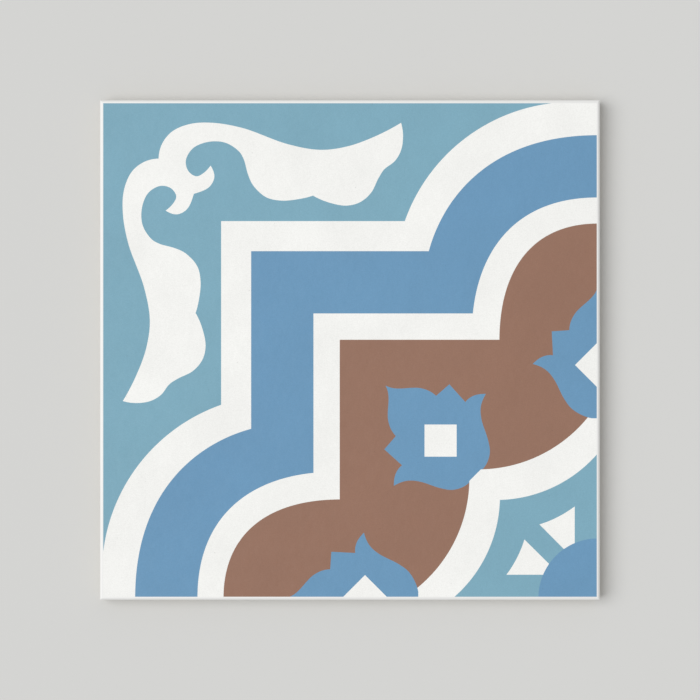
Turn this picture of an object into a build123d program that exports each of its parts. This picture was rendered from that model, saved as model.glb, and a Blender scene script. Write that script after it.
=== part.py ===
from build123d import *

import math
import os

# Square floor tile, dry-pressed in porcelain: a flat face, rounded face edges and a keyed back.
# The origin is the middle of the back, on the plane that the tile lies on. +Z points up through the
# glazed face, and the sides face along X and Y. All sizes are in millimetres.

# Slab
TILE_SIDE = 200.0  # across two opposite sides
TILE_THICKNESS = 8.5  # from the ribs of the back to the face
ARRIS_RADIUS = 1.4  # rounded edge between the face and each side
BACK_BEVEL_HEIGHT = 1.8  # bevel between each side and the back, measured up the side
BACK_BEVEL_INSET = 0.8  # the same bevel, measured across the back

# Keyed back: shallow cells between raised ribs, which grip the tile adhesive
CELL_SIDE = 20.0  # mouth of one cell
CELL_DEPTH = 0.9
CELL_DRAFT = 35.0  # degrees that the cell's walls lean, so that the press lets go
CELL_CORNER_RADIUS = 2.5  # at the mouth
RIB_WIDTH = 3.5  # between two mouths
BORDER_LEAST = 6.0  # least plain band between the outer cells and the bevel

# Derived sizes
CELL_PITCH = CELL_SIDE + RIB_WIDTH
BACK_SIDE = TILE_SIDE - 2 * BACK_BEVEL_INSET
CELLS_PER_ROW = math.floor((BACK_SIDE - 2 * BORDER_LEAST + RIB_WIDTH) / CELL_PITCH)


def make_slab():
    """The pressed slab before its back is keyed: a square plate with its edges eased."""
    on_its_back = (Align.CENTER, Align.CENTER, Align.MIN)
    slab = Box(TILE_SIDE, TILE_SIDE, TILE_THICKNESS, align=on_its_back)
    slab = fillet(slab.faces().sort_by(Axis.Z)[-1].edges(), ARRIS_RADIUS)
    back = slab.faces().sort_by(Axis.Z)[0]
    return chamfer(back.edges(), BACK_BEVEL_INSET, BACK_BEVEL_HEIGHT, reference=back)


def make_cell():
    """The space of one cell, open at the back, with drafted walls and rounded corners."""
    mouth = RectangleRounded(CELL_SIDE, CELL_SIDE, CELL_CORNER_RADIUS)
    return extrude(mouth, CELL_DEPTH, taper=CELL_DRAFT)


def make_tile():
    """The whole tile: the slab with a square grid of cells pressed into its back."""
    grid = GridLocations(CELL_PITCH, CELL_PITCH, CELLS_PER_ROW, CELLS_PER_ROW)
    cell = make_cell()
    return make_slab() - [place * cell for place in grid]


os.makedirs("parts", exist_ok=True)
export_step(make_tile(), "parts/floor_tile.step")
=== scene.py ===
import math

import bmesh
import bpy
from mathutils import Matrix, Vector
from mathutils.geometry import delaunay_2d_cdt, interpolate_bezier
from mathutils.kdtree import KDTree


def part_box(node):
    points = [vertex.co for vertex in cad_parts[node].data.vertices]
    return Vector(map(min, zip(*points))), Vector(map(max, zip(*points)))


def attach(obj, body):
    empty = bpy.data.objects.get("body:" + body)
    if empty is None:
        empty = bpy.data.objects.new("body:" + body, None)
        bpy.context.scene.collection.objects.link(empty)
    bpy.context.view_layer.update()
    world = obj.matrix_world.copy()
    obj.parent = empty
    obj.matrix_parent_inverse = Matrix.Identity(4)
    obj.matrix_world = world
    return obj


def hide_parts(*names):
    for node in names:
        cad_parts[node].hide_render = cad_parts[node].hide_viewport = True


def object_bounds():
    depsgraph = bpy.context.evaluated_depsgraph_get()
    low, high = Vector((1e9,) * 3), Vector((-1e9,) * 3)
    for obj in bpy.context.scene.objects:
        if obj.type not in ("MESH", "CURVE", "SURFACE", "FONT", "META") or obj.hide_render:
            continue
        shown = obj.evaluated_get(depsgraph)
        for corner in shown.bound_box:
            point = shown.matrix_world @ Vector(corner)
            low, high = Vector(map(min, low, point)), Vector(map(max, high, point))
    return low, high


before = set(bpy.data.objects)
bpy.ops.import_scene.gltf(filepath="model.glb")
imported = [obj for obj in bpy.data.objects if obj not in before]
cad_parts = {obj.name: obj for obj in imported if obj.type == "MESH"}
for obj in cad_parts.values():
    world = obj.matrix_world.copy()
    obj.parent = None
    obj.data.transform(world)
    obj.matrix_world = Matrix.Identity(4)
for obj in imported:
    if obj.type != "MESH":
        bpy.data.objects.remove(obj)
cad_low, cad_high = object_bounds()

# Looks of a square porcelain floor tile: a pattern printed in four satin glazes on its face, pale glaze on
# its rounded rim, and the bare body on its sides and keyed back. The camera looks straight down on the face.
#
# The print is drawn in millimetres, as (across, down) from the corner of the tile that holds the scroll.
# It is its own mirror image in the diagonal from there to the rosette, so most shapes are half outlines
# from diagonal to diagonal. Swapping the two numbers of a point mirrors it. All else is in metres.

MM = 0.001
NODE = "floor_tile"
TILE_LOW, TILE_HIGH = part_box(NODE)
TILE_SPAN = TILE_HIGH - TILE_LOW

# Print
PRINT_SIDE = 200.0  # the side of the tile that the print is drawn for
PRINT_AXIS = 199.0  # the pattern's lines of symmetry near the two sides that meet at the rosette
DISC_RADIUS = 23.7  # middle of the rosette
RAY_SIDE = 189.8  # straight side of a ray of the rosette, beside the pattern's axis
FLOWER_SPOT = Vector((136.2, 136.2))  # middle of the flower on the diagonal
FLOWER_BASE = [(154.7, 145.2), (152.2, 148.4)]  # last points of its half outline
FLOWER_REACH = 106.0  # where the two flowers on the pattern's axes stand
AXIS_FLOWER_BASE = [(155.0, 145.4), (153.0, 149.5)]  # last points of theirs, drawn on the diagonal too
SQUARE_SIDE = 12.85  # small square in each flower
CURVE_STEP = 1.0  # between the points of a curve

# Mesh of the printed face, in millimetres of the print
FILL_STEP = 5.0  # between the points that fill its flat areas
FILL_CLEAR = 1.8  # that those points keep from an outline
CUT_TOLERANCE = 0.001  # within which points count as one

# Mesh of the whole tile
WELD = 2e-6  # within which points are welded
SHARP_ANGLE = math.radians(30.0)  # between two faces, from which the edge between them is crisp
FLAT_LEAST = 0.9999  # a face is flat if its normal lies along one axis by at least this
BACK_LEAN = -0.5  # upward part of a normal, below which its face belongs to the back
BODY_SLOT = 0  # material slot of the body, which the slots of the glazes follow

# Map that the textures are baked through, in shares of its side
MAP_FACE = 0.78  # width of the face
MAP_GAP = 0.005  # least space between the parts of the map, and round them
MAP_BACK = 1.0 - MAP_FACE - 3 * MAP_GAP  # width of the back
MAP_STRIP = 0.048  # from one side of the tile to the next

# Colours, as sRGB values from 0 to 255
GLAZES = {
    "teal": (122, 168, 187),
    "blue": (102, 149, 185),
    "brown": (146, 108, 89),
    "white": (244, 244, 241),
}
RIM_COLOUR = (237, 237, 235)
BODY_PALE = (226, 220, 209)
BODY_DARK = (205, 197, 184)
SPECK_DARK = (163, 157, 146)
# Painted shade: the colour that the cells on the back darken towards, as if shadowed
PAINTED_CELL_SHADE = (186, 178, 167)
KILN_WASH = (236, 234, 229)
RUB_GREY = (158, 153, 146)
FLOOR_COLOUR = (214, 214, 212)

# All materials of the tile
SHINE = 0.4  # strength of the reflections, where 0.5 is plain glass
NOISE_DETAIL = 3.0  # number of finer layers in the noise
NOISE_SPAN = (0.3, 0.7)  # nearly all of the noise's values lie between these

# Glaze of the print
GLAZE_ROUGHNESS = (0.46, 0.58)  # least and most
CLOUD_SIZE = 18 * MM
CLOUD_SHARE = 0.025  # of the colour's brightness, up and down
GRAIN_SIZE = 0.4 * MM
GRAIN_SHARE = 0.05  # of the colour's brightness, up and down
GRAIN_HEIGHT = 0.012 * MM
WAVE_SIZE = 3.5 * MM  # of the skin's slight waviness
WAVE_HEIGHT = 0.05 * MM
PINHOLE_SPACING = 7 * MM
PINHOLE_RADIUS = 0.25 * MM
PINHOLE_DEPTH = 0.03 * MM
PINHOLE_SHADE = 0.8  # brightness in a pinhole, as a share of the glaze's

# Rim and bare body
RIM_DEPTH = 1.6 * MM  # from the face down to the lower edge of the rim's glaze
RIM_BLUR = 0.2 * MM  # half the width over which that edge fades
RIM_STRAY = 0.5 * MM  # that the edge strays up and down
RIM_STRAY_SIZE = 12 * MM
RIM_ROUGHNESS = 0.5
RIM_GRAIN_SHARE = 0.25  # of the body's grain that shows through the rim's glaze
BODY_ROUGHNESS = (0.66, 0.82)  # least and most
BODY_CLOUD_SIZE = 25 * MM
BODY_CLOUD_SHARE = 0.6  # most of the dark colour in a cloud
BODY_GRAIN_SIZE = 0.5 * MM
BODY_GRAIN_SHARE = 0.3  # most of the dark colour in a grain
BODY_GRAIN_HEIGHT = 0.025 * MM
BODY_WAVE_SIZE = 9 * MM
BODY_WAVE_HEIGHT = 0.03 * MM
SPECK_SPACING = 1.6 * MM
SPECK_RADIUS = 0.28 * MM
SPECK_SHARE = 0.35  # of the speck's own colour in it

# Keyed back, with painted shade in its cells
BACK_BLUR = 0.05  # to either side of BACK_LEAN, over which the back's looks fade in
RIB_HEIGHT = 0.3 * MM  # above which a place on the back lies in a cell
CELL_FLOOR = 0.8 * MM  # height at which the painted shade in a cell is full
PAINTED_SHADE_SHARE = 0.7  # of the painted shade's colour there
WASH_SIZE = 14 * MM
WASH_SHARES = (0.2, 0.9)  # least and most of the wash's colour on the ribs
SCUFF_LENGTH = 22 * MM
SCUFF_RATIO = 7.0  # length to width
SCUFF_LEAST = 0.75  # noise above this makes a rub mark
SCUFF_SHARE = 0.4  # most of the grey in a rub mark

# Camera and light
LENS = 120.0  # in millimetres
TILE_SHARE = 0.715  # of the picture's width that the tile fills
SKY_LEVEL = 0.52  # light from all round, where 1 shows a white surface as white
KEY_LEVEL = 0.46  # light from the lamp, on the same scale
KEY_DIRECTION = Vector((-0.56, 0.04, 0.83)).normalized()  # towards the lamp
KEY_SPREAD = math.radians(50.0)  # width of the lamp as the tile sees it
FLOOR_SIDE = 400.0  # so wide that its edge lies at the horizon
FLOOR_DROP = 0.1 * MM  # below the ribs of the back, so that the two don't coincide


def steps_along(length):
    """The number of steps that a curve of this length is drawn in."""
    return math.ceil(length / CURVE_STEP)


def bend(start, aim_start, aim_end, end):
    """A smooth bend between two points, which leaves and arrives along its aims."""
    row = [Vector(point) for point in (start, aim_start, aim_end, end)]
    length = sum((after - here).length for here, after in zip(row, row[1:]))
    return interpolate_bezier(*row, steps_along(length) + 1)


def aim(before, here, after):
    """Where a curve through three points heads as it leaves the middle one (centripetal Catmull-Rom)."""
    back = math.sqrt((here - before).length)
    ahead = math.sqrt((after - here).length)
    hold = 2 * back ** 2 + 3 * back * ahead + ahead ** 2
    return (back ** 2 * after - ahead ** 2 * before + hold * here) / (3 * back * (back + ahead))


def smooth(points):
    """A smooth curve through three points or more, which keeps its bend at both ends."""
    row = [Vector(point) for point in points]
    before = 3 * row[0] - 3 * row[1] + row[2]
    after = 3 * row[-1] - 3 * row[-2] + row[-3]
    row = [before, *row, after]
    curve = [row[1]]
    for a, b, c, d in zip(row, row[1:], row[2:], row[3:]):
        curve += bend(b, aim(a, b, c), aim(d, c, b), c)[1:]
    return curve


def path(start, *stretches):
    """Stretches end to end from start: one more point makes a straight line, several a smooth curve."""
    line = [Vector(start)]
    for stretch in stretches:
        run = [line[-1], *map(Vector, stretch)]
        line += smooth(run)[1:] if len(run) > 2 else run[1:]
    return line


def round_points(centre, radius, first, turn):
    """Points on a circle, from the angle first on through the angle turn."""
    steps = steps_along(radius * abs(turn))
    angles = [first + turn * step / steps for step in range(steps + 1)]
    return [centre + radius * Vector((math.cos(angle), math.sin(angle))) for angle in angles]


def arc(start, middle, end):
    """The short arc of a circle from start through middle to end."""
    start, end = Vector(start), Vector(end)
    a, b = Vector(middle) - start, end - start
    # The spoke runs to start from the centre of the circle through all three points.
    across_both = b.length_squared * Vector((a.y, -a.x)) - a.length_squared * Vector((b.y, -b.x))
    spoke = across_both / (2 * a.cross(b))
    centre = start - spoke
    first = math.atan2(spoke.y, spoke.x)
    last = math.atan2(end.y - centre.y, end.x - centre.x)
    turn = (last - first + math.pi) % (2 * math.pi) - math.pi
    return round_points(centre, spoke.length, first, turn)


def mirrored(points):
    """The mirror image of points in the diagonal."""
    return [point.yx for point in points]


def whole(half):
    """A half outline from diagonal to diagonal, closed by its mirror image, with no point twice."""
    half = [Vector(point) for point in half]
    ring = half + mirrored(half[::-1])
    return [here for here, before in zip(ring, ring[-1:] + ring) if (here - before).length > CUT_TOLERANCE]


def to_rosette(edge):
    """The ground between an edge that ends near the pattern's axis and the rosette's corner."""
    return whole([*edge, (PRINT_SIDE, edge[-1].y), (PRINT_SIDE, PRINT_SIDE)])


def stepped(lobe_edge):
    """The ground inside a stepped edge: a square corner on the diagonal, level with the start of a lobe."""
    return to_rosette([lobe_edge[0].yy, *lobe_edge])


def lobe(start, lean, reach, crown):
    """A lobe's edge from start to its crown on the axis, with lean and a point a reach away as its aims."""
    return bend(start, lean, (PRINT_AXIS - reach, crown), (PRINT_AXIS, crown))


def bands():
    """Three bands and the brown middle, from the outermost in."""
    return [
        ("white", stepped(arc((121.9, 48.5), (139.6, 20.9), (189.4, 0.9)))),
        ("blue", stepped(lobe((131.5, 60.5), (136.4, 41.9), 45.4, 14.15))),
        ("white", stepped(lobe((149.1, 85.4), (151.6, 60.0), 32.7, 39.05))),
        ("brown", stepped(lobe((159.7, 95.9), (159.8, 66.5), 25.0, 49.45))),
    ]


def rosette():
    """The star of the rosette, the two rays on it, and the disc that covers their inner ends."""
    ray = [*arc((175.7, 169.7), (182.9, 166.8), (RAY_SIDE, 162.5)), Vector((RAY_SIDE, 183.9))]
    # A full turn ends on the point that it starts from, so the disc leaves out the first one.
    disc = round_points(Vector((PRINT_AXIS, PRINT_AXIS)), DISC_RADIUS, 0.0, 2 * math.pi)[1:]
    return [
        ("white", to_rosette(arc((152.3, 147.7), (175.0, 142.5), (PRINT_AXIS, 121.4)))),
        ("teal", to_rosette(arc((159.9, 159.9), (184.0, 153.4), (PRINT_AXIS, 141.3)))),
        ("white", ray),
        ("white", mirrored(ray)),
        ("blue", disc),
    ]


def flower(base):
    """A flower drawn on the diagonal: a leaf point, a barbed calyx and a round base of these points."""
    return whole(path(
        (114.2, 114.2),
        [(117.0, 115.2), (120.2, 115.4), (125.0, 115.1), (127.9, 115.2), (131.5, 116.3), (134.4, 118.3)],
        [(139.7, 113.7)],
        [(146.1, 120.8)],
        [(149.3, 118.3), (154.3, 117.5)],
        [(152.3, 122.5), (152.5, 127.5), (155.2, 136.1), (155.9, 140.8), *base],
    ))


def square():
    """The small square in the flower on the diagonal."""
    half = SQUARE_SIDE / 2
    corners = [(-half, -half), (half, -half), (half, half), (-half, half)]
    return [FLOWER_SPOT + Vector(corner) for corner in corners]


def moved(shape, spot, turn):
    """A shape that is drawn at the flower on the diagonal, moved to another flower's spot and turned."""
    spin = Matrix.Rotation(turn, 2)
    return [Vector(spot) + spin @ (point - FLOWER_SPOT) for point in shape]


def scroll():
    """The leaf scroll round the tile's corner: two curled arms that join on the diagonal."""
    return whole(path(
        (23.5, 23.5),
        [(24.9, 17.6), (28.9, 12.7), (36.0, 9.7), (45.0, 9.2), (57.1, 11.3), (75.0, 17.7), (88.0, 20.0),
         (99.1, 18.6), (110.1, 14.6), (120.4, 9.2)],
        [(121.2, 14.5), (120.4, 20.2), (117.9, 24.5), (113.7, 27.8), (111.4, 31.3), (108.4, 37.2),
         (103.9, 41.0), (98.4, 42.3), (91.4, 41.0), (85.2, 38.3)],
        [(79.5, 39.7), (72.5, 40.3), (66.4, 38.9), (61.3, 34.2), (59.3, 30.0), (57.5, 23.7), (55.6, 20.6),
         (50.0, 17.1), (43.0, 16.9), (37.1, 19.5), (34.4, 24.3), (35.4, 28.5), (38.6, 30.6), (41.6, 29.2),
         (44.3, 26.3)],
        [(45.8, 30.8), (43.8, 34.8), (37.6, 37.6)],
    ))


def pattern():
    """The print's layers over its teal ground, as (glaze, outline): each one covers what lies under it."""
    layers = [*bands(), ("blue", flower(FLOWER_BASE)), ("white", square()), *rosette()]
    eighth = math.pi / 4
    for spot, turn in [((PRINT_AXIS, FLOWER_REACH), eighth), ((FLOWER_REACH, PRINT_AXIS), -eighth)]:
        layers.append(("blue", moved(flower(AXIS_FLOWER_BASE), spot, turn)))
        layers.append(("white", moved(square(), spot, turn)))
    return layers + [("white", scroll())]


def divided(ring):
    """A closed outline with points added along its long straight runs, in the turn from across to down."""
    sides = list(zip(ring, ring[1:] + ring[:1]))
    points = []
    for here, after in sides:
        parts = math.ceil((after - here).length / FILL_STEP)
        points += [here.lerp(after, part / parts) for part in range(parts)]
    turning = sum(here.cross(after) for here, after in sides)
    return points if turning > 0 else points[::-1]


def fill_points(outline_points):
    """A lattice of points over the print that keeps clear of its outlines."""
    tree = KDTree(len(outline_points))
    for index, point in enumerate(outline_points):
        tree.insert(point.to_3d(), index)
    tree.balance()
    row_step = FILL_STEP * math.sqrt(3) / 2
    points = []
    for row in range(math.floor(PRINT_SIDE / row_step)):
        for column in range(math.floor(PRINT_SIDE / FILL_STEP)):
            point = Vector(((column + 0.5 + 0.5 * (row % 2)) * FILL_STEP, (row + 0.5) * row_step))
            if tree.find(point.to_3d())[2] > FILL_CLEAR:
                points.append(point)
    return points


def cut_print(border):
    """The print inside its border: its points, its triangles and the glaze of each triangle."""
    layers = [("teal", border), *pattern()]
    points = []
    loops = []
    for _, outline in layers:
        ring = divided(outline)
        loops.append(list(range(len(points), len(points) + len(ring))))
        points += ring
    points += fill_points(points)
    # Type 0 keeps every triangle, and covers lists the outlines that each one lies in.
    corners, _, triangles, _, _, covers = delaunay_2d_cdt(points, [], loops, 0, CUT_TOLERANCE, True)
    # The ground is layer 0, so a triangle that it doesn't cover lies outside the border.
    inside = [(triangle, max(cover)) for triangle, cover in zip(triangles, covers) if 0 in cover]
    return corners, [triangle for triangle, _ in inside], [layers[top][0] for _, top in inside]


def on_face(point):
    """The place on the tile's face of a point of the print."""
    across, down = point / PRINT_SIDE
    return Vector((TILE_LOW.x + across * TILE_SPAN.x, TILE_HIGH.y - down * TILE_SPAN.y, TILE_HIGH.z))


def on_print(place):
    """The point of the print above or below a place on the tile."""
    across = (place.x - TILE_LOW.x) / TILE_SPAN.x
    down = (TILE_HIGH.y - place.y) / TILE_SPAN.y
    return Vector((across, down)) * PRINT_SIDE


def open_face(shell):
    """Takes the flat face off the shell and returns the edges round the hole."""
    flat = [face for face in shell.faces if all(TILE_HIGH.z - vert.co.z < WELD for vert in face.verts)]
    bmesh.ops.delete(shell, geom=flat, context="FACES")
    return [edge for edge in shell.edges if edge.is_boundary]


def border_of(edges):
    """The outline of the hole that the edges go round, as points of the print."""
    points = [on_print(vert.co) for vert in {vert for edge in edges for vert in edge.verts}]
    middle = Vector((PRINT_SIDE, PRINT_SIDE)) / 2
    return sorted(points, key=lambda point: math.atan2(point.y - middle.y, point.x - middle.x))


def split_edges(edges, places):
    """Adds a corner to the edges at each of these places that lies on one."""
    for edge in edges:
        start, end = edge.verts
        along = end.co - start.co
        found = []
        for place in places:
            share = (place - start.co).dot(along) / along.length_squared
            apart = (start.co + share * along - place).length
            if apart < WELD and WELD < share * along.length < along.length - WELD:
                found.append((share, place))
        for _, place in sorted(found, key=lambda pair: -pair[0]):
            # The new corner is made halfway along, and then moved to its place.
            _, end = bmesh.utils.edge_split(edge, end, 0.5)
            end.co = place


def fan(shell, face):
    """Cuts a face that the new corners have made many-sided into triangles from its lowest corner."""
    corners = list(face.verts)
    lowest = min(range(len(corners)), key=lambda index: corners[index].co.z)
    corners = corners[lowest:] + corners[:lowest]
    for here, after in zip(corners[1:], corners[2:]):
        shell.faces.new((corners[0], here, after))
    shell.faces.remove(face)


def lay_print(shell):
    """Puts the printed face in place of the flat one, with each glaze in its own material slot."""
    edges = open_face(shell)
    corners, triangles, glazes = cut_print(border_of(edges))
    used = sorted({index for triangle in triangles for index in triangle})
    places = {index: on_face(corners[index]) for index in used}
    split_edges(edges, places.values())
    verts = {index: shell.verts.new(place) for index, place in places.items()}
    slots = {glaze_name: number for number, glaze_name in enumerate(GLAZES, start=BODY_SLOT + 1)}
    for triangle, glaze_name in zip(triangles, glazes):
        face = shell.faces.new([verts[index] for index in reversed(triangle)])
        face.material_index = slots[glaze_name]
    bmesh.ops.remove_doubles(shell, verts=shell.verts, dist=WELD)
    for face in [face for face in shell.faces if len(face.verts) > 3]:
        fan(shell, face)


def mark_edges(shell):
    """Smooth faces, with a crisp edge at each corner and where a flat side meets a round edge."""
    shell.normal_update()
    for face in shell.faces:
        face.smooth = True
    for edge in shell.edges:
        kinds = {max(map(abs, face.normal)) > FLAT_LEAST for face in edge.link_faces}
        edge.smooth = edge.calc_face_angle(math.pi) < SHARP_ANGLE and len(kinds) == 1


def map_place(face, place):
    """Where a face's corner goes on the bake's map: the print and the back lie flat, each side in a strip."""
    across, down = on_print(place) / PRINT_SIDE
    if face.material_index > BODY_SLOT:
        return MAP_GAP + MAP_FACE * across, MAP_GAP + MAP_FACE * (1 - down)
    if face.normal.z < BACK_LEAN:
        return 2 * MAP_GAP + MAP_FACE + MAP_BACK * across, MAP_GAP + MAP_BACK * down
    looks_along_x = abs(face.normal.x) > abs(face.normal.y)
    along, off = (down, across) if looks_along_x else (across, down)
    inset = min(off, 1 - off)
    up = (place.z - TILE_LOW.z) / TILE_SPAN.x
    unrolled = up + inset if up > TILE_SPAN.z / TILE_SPAN.x / 2 else up - inset
    strip = 2 * int(looks_along_x) + int(face.normal.x + face.normal.y > 0)
    return MAP_GAP + MAP_FACE * along, 3 * MAP_GAP + MAP_FACE * (1 + unrolled) + MAP_STRIP * strip


def add_map(shell):
    """Gives each corner of each face its place on the bake's map."""
    layer = shell.loops.layers.uv.new("OFBake")
    for face in shell.faces:
        for corner in face.loops:
            corner[layer].uv = map_place(face, corner.vert.co)


def add(tree, kind, inputs=None, **settings):
    """Adds a node. An input is a value, or another node's output to link."""
    node = tree.nodes.new(kind)
    for name, value in settings.items():
        setattr(node, name, value)
    for name, value in (inputs or {}).items():
        if isinstance(value, bpy.types.NodeSocket):
            tree.links.new(value, node.inputs[name])
        else:
            node.inputs[name].default_value = value
    return node


def linear(colour, share=1.0):
    """An sRGB colour as the shader takes it, made darker or lighter by a share."""
    parts = [value / 255 for value in colour]
    parts = [part / 12.92 if part < 0.04045 else ((part + 0.055) / 1.055) ** 2.4 for part in parts]
    return *(part * share for part in parts), 1.0


def new_material(name):
    """A material with its node tree, its shader and the place on the object."""
    material = bpy.data.materials.new(name)
    material.use_nodes = True
    tree = material.node_tree
    place = add(tree, "ShaderNodeTexCoord").outputs["Object"]
    return material, tree, tree.nodes["Principled BSDF"], place


def upward(tree, vector):
    """The upward part of a vector."""
    return add(tree, "ShaderNodeSeparateXYZ", {"Vector": vector}).outputs["Z"]


def ranged(tree, value, start, end, low, high):
    """A value from start to end as one from low to high, held there beyond them."""
    inputs = {"Value": value, "From Min": start, "From Max": end, "To Min": low, "To Max": high}
    return add(tree, "ShaderNodeMapRange", inputs).outputs["Result"]


def combined(tree, operation, first, second):
    """The result of an operation on two numbers."""
    return add(tree, "ShaderNodeMath", {0: first, 1: second}, operation=operation).outputs["Value"]


def clouded(tree, place, size, low=0.0, high=1.0):
    """Cloudy noise from low to high, with clouds of a size."""
    inputs = {"Vector": place, "Scale": 1 / size, "Detail": NOISE_DETAIL}
    noise = add(tree, "ShaderNodeTexNoise", inputs).outputs["Fac"]
    return ranged(tree, noise, *NOISE_SPAN, low, high)


def dotted(tree, place, spacing, radius, share=1.0):
    """The share in soft dots of a radius that are strewn about at a spacing, and 0 between them."""
    cells = add(tree, "ShaderNodeTexVoronoi", {"Vector": place, "Scale": 1 / spacing})
    edge = radius / spacing
    return ranged(tree, cells.outputs["Distance"], edge / 2, edge, share, 0.0)


def blend(tree, share, first, second):
    """The first colour, turning into the second one as share goes from 0 to 1."""
    # The node's colour sockets share their names with others, so they go by number.
    return add(tree, "ShaderNodeMix", {0: share, 6: first, 7: second}, data_type="RGBA").outputs[2]


def layered(tree, colour, *layers):
    """A colour with others over it, each one as its share from 0 to 1 and its colour."""
    for share, over in layers:
        colour = blend(tree, share, colour, linear(over))
    return colour


def uneven(tree, shader, reliefs):
    """Gives the shader a bumpy skin from patterns between 0 and 1, each with its height."""
    inputs = {}
    for relief, height in reliefs:
        bump = add(tree, "ShaderNodeBump", {**inputs, "Height": relief, "Distance": height, "Strength": 1.0})
        inputs = {"Normal": bump.outputs["Normal"]}
    tree.links.new(inputs["Normal"], shader.inputs["Normal"])


def glaze(name, colour):
    """A printed satin glaze: faint clouds, the print's fine grain, pinholes and a slightly wavy skin."""
    material, tree, shader, place = new_material(name)
    clouds = clouded(tree, place, CLOUD_SIZE, 1 - CLOUD_SHARE, 1 + CLOUD_SHARE)
    grain = clouded(tree, place, GRAIN_SIZE)
    dots = ranged(tree, grain, 0.0, 1.0, 1 - GRAIN_SHARE, 1 + GRAIN_SHARE)
    inputs = {"Value": combined(tree, "MULTIPLY", clouds, dots), "Color": linear(colour)}
    printed = add(tree, "ShaderNodeHueSaturation", inputs).outputs["Color"]
    pinholes = dotted(tree, place, PINHOLE_SPACING, PINHOLE_RADIUS)
    pricked = blend(tree, pinholes, printed, linear(colour, PINHOLE_SHADE))
    tree.links.new(pricked, shader.inputs["Base Color"])
    waves = clouded(tree, place, WAVE_SIZE)
    tree.links.new(ranged(tree, waves, 0.0, 1.0, *GLAZE_ROUGHNESS), shader.inputs["Roughness"])
    shader.inputs["Specular IOR Level"].default_value = SHINE
    skin = combined(tree, "SUBTRACT", 1.0, pinholes)
    uneven(tree, shader, [(waves, WAVE_HEIGHT), (grain, GRAIN_HEIGHT), (skin, PINHOLE_DEPTH)])
    return material


def bare_body(tree, place):
    """The colour of the unglazed body: clouded, finely grained and speckled."""
    clouds = clouded(tree, place, BODY_CLOUD_SIZE, 0.0, BODY_CLOUD_SHARE)
    grain = clouded(tree, place, BODY_GRAIN_SIZE, 0.0, BODY_GRAIN_SHARE)
    specks = dotted(tree, place, SPECK_SPACING, SPECK_RADIUS, SPECK_SHARE)
    return layered(tree, linear(BODY_PALE), (clouds, BODY_DARK), (grain, BODY_DARK), (specks, SPECK_DARK))


def keyed_back(tree, place, height, colour):
    """The body's colour with painted shade in the back's cells, and kiln wash and a few rub marks on its
    ribs.
    """
    normal = add(tree, "ShaderNodeTexCoord").outputs["Normal"]
    on_back = ranged(tree, upward(tree, normal), BACK_LEAN + BACK_BLUR, BACK_LEAN - BACK_BLUR, 0.0, 1.0)
    # Painted shade: the cells darken with their depth, where shadow would fall in them.
    depth = ranged(tree, height, RIB_HEIGHT, CELL_FLOOR, 0.0, PAINTED_SHADE_SHARE)
    painted_shade = combined(tree, "MULTIPLY", on_back, depth)
    on_rib = combined(tree, "MULTIPLY", on_back, ranged(tree, height, 0.0, RIB_HEIGHT, 1.0, 0.0))
    wash = combined(tree, "MULTIPLY", on_rib, clouded(tree, place, WASH_SIZE, *WASH_SHARES))
    stretch = {"Vector": place, "Scale": (1.0, SCUFF_RATIO, 1.0)}
    drawn_out = add(tree, "ShaderNodeMapping", stretch).outputs["Vector"]
    scuffs = ranged(tree, clouded(tree, drawn_out, SCUFF_LENGTH), SCUFF_LEAST, 1.0, 0.0, SCUFF_SHARE)
    rubs = combined(tree, "MULTIPLY", on_rib, scuffs)
    return layered(tree, colour, (painted_shade, PAINTED_CELL_SHADE), (wash, KILN_WASH), (rubs, RUB_GREY))


def porcelain(name):
    """The fired body: pale glaze on the rim down to an uneven line, and bare below it."""
    material, tree, shader, place = new_material(name)
    height = upward(tree, place)
    stray = clouded(tree, place, RIM_STRAY_SIZE, -RIM_STRAY, RIM_STRAY)
    line = TILE_HIGH.z - RIM_DEPTH
    glazed = ranged(tree, combined(tree, "ADD", height, stray), line - RIM_BLUR, line + RIM_BLUR, 0.0, 1.0)
    bare = keyed_back(tree, place, height, bare_body(tree, place))
    tree.links.new(layered(tree, bare, (glazed, RIM_COLOUR)), shader.inputs["Base Color"])
    grain = clouded(tree, place, BODY_GRAIN_SIZE)
    matt = ranged(tree, grain, 0.0, 1.0, *BODY_ROUGHNESS)
    roughness = add(tree, "ShaderNodeMix", {"Factor": glazed, "A": matt, "B": RIM_ROUGHNESS})
    tree.links.new(roughness.outputs["Result"], shader.inputs["Roughness"])
    shader.inputs["Specular IOR Level"].default_value = SHINE
    waves = clouded(tree, place, BODY_WAVE_SIZE)
    pressed = combined(tree, "MULTIPLY", grain, ranged(tree, glazed, 0.0, 1.0, 1.0, RIM_GRAIN_SHARE))
    uneven(tree, shader, [(waves, BODY_WAVE_HEIGHT), (pressed, BODY_GRAIN_HEIGHT)])
    return material


def tile_mesh():
    """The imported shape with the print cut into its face."""
    shell = bmesh.new()
    shell.from_mesh(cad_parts[NODE].data)
    bmesh.ops.remove_doubles(shell, verts=shell.verts, dist=WELD)
    for face in shell.faces:
        face.material_index = BODY_SLOT
    lay_print(shell)
    mark_edges(shell)
    add_map(shell)
    mesh = bpy.data.meshes.new("printed_tile")
    shell.to_mesh(mesh)
    shell.free()
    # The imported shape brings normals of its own, which don't fit the new faces.
    packed_normals = mesh.attributes.get("custom_normal")
    if packed_normals:
        mesh.attributes.remove(packed_normals)
    return mesh


def make_tile():
    """The tile's one visible piece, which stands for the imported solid."""
    mesh = tile_mesh()
    mesh.materials.append(porcelain("porcelain_body"))
    for glaze_name, colour in GLAZES.items():
        mesh.materials.append(glaze("glaze_" + glaze_name, colour))
    tile = bpy.data.objects.new("printed_tile", mesh)
    bpy.context.collection.objects.link(tile)
    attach(tile, "root")
    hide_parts(NODE)


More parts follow.
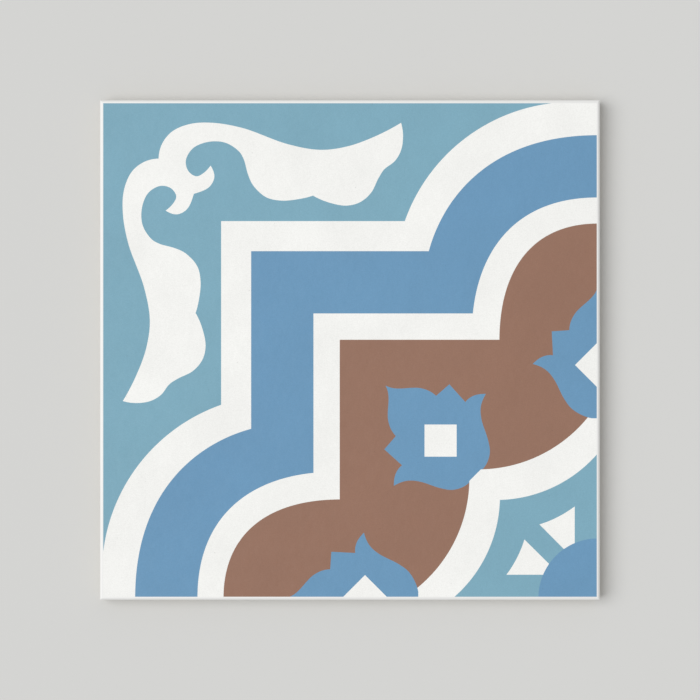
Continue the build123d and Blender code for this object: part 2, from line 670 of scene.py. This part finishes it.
def make_floor():
    """A large plain pale floor under the tile."""
    half = FLOOR_SIDE / 2
    level = cad_low.z - FLOOR_DROP
    corners = [(-half, -half, level), (half, -half, level), (half, half, level), (-half, half, level)]
    mesh = bpy.data.meshes.new("floor")
    mesh.from_pydata(corners, [], [(0, 1, 2, 3)])
    material = bpy.data.materials.new("pale_floor")
    material.use_nodes = True
    shader = material.node_tree.nodes["Principled BSDF"]
    shader.inputs["Base Color"].default_value = linear(FLOOR_COLOUR)
    shader.inputs["Roughness"].default_value = 1.0
    shader.inputs["Specular IOR Level"].default_value = 0.0
    mesh.materials.append(material)
    floor = bpy.data.objects.new("floor", mesh)
    bpy.context.collection.objects.link(floor)


def make_sky():
    """Even light from all round. What the camera and mirrors see of it is as pale as the lit floor."""
    world = bpy.data.worlds.new("sky")
    world.use_nodes = True
    tree = world.node_tree
    ray = add(tree, "ShaderNodeLightPath").outputs
    seen = combined(tree, "MAXIMUM", ray["Is Camera Ray"], ray["Is Glossy Ray"])
    seen = combined(tree, "MAXIMUM", seen, ray["Is Transmission Ray"])
    light = (SKY_LEVEL, SKY_LEVEL, SKY_LEVEL, 1.0)
    lit_floor = linear(FLOOR_COLOUR, SKY_LEVEL + KEY_LEVEL)
    background = tree.nodes["Background"]
    tree.links.new(blend(tree, seen, light, lit_floor), background.inputs["Color"])
    background.inputs["Strength"].default_value = 1.0
    bpy.context.scene.world = world


def make_lamp():
    """A soft distant lamp to the left of the tile, as strong as KEY_LEVEL says."""
    lamp = bpy.data.lights.new("key", "SUN")
    lamp.angle = KEY_SPREAD
    lamp.energy = KEY_LEVEL * math.pi / KEY_DIRECTION.z
    key = bpy.data.objects.new("key", lamp)
    key.rotation_euler = KEY_DIRECTION.to_track_quat("Z", "Y").to_euler()
    bpy.context.collection.objects.link(key)


def make_camera():
    """A long lens straight above the tile's middle, with +Y up in the picture."""
    lens = bpy.data.cameras.new("camera")
    lens.lens = LENS
    camera = bpy.data.objects.new("camera", lens)
    picture_width = TILE_SPAN.x / TILE_SHARE
    middle = (TILE_LOW + TILE_HIGH) / 2
    camera.location = (middle.x, middle.y, TILE_HIGH.z + picture_width * LENS / lens.sensor_width)
    bpy.context.collection.objects.link(camera)
    bpy.context.scene.camera = camera


make_tile()
make_floor()
make_sky()
make_lamp()
make_camera()
bpy.context.scene.view_settings.view_transform = "Standard"
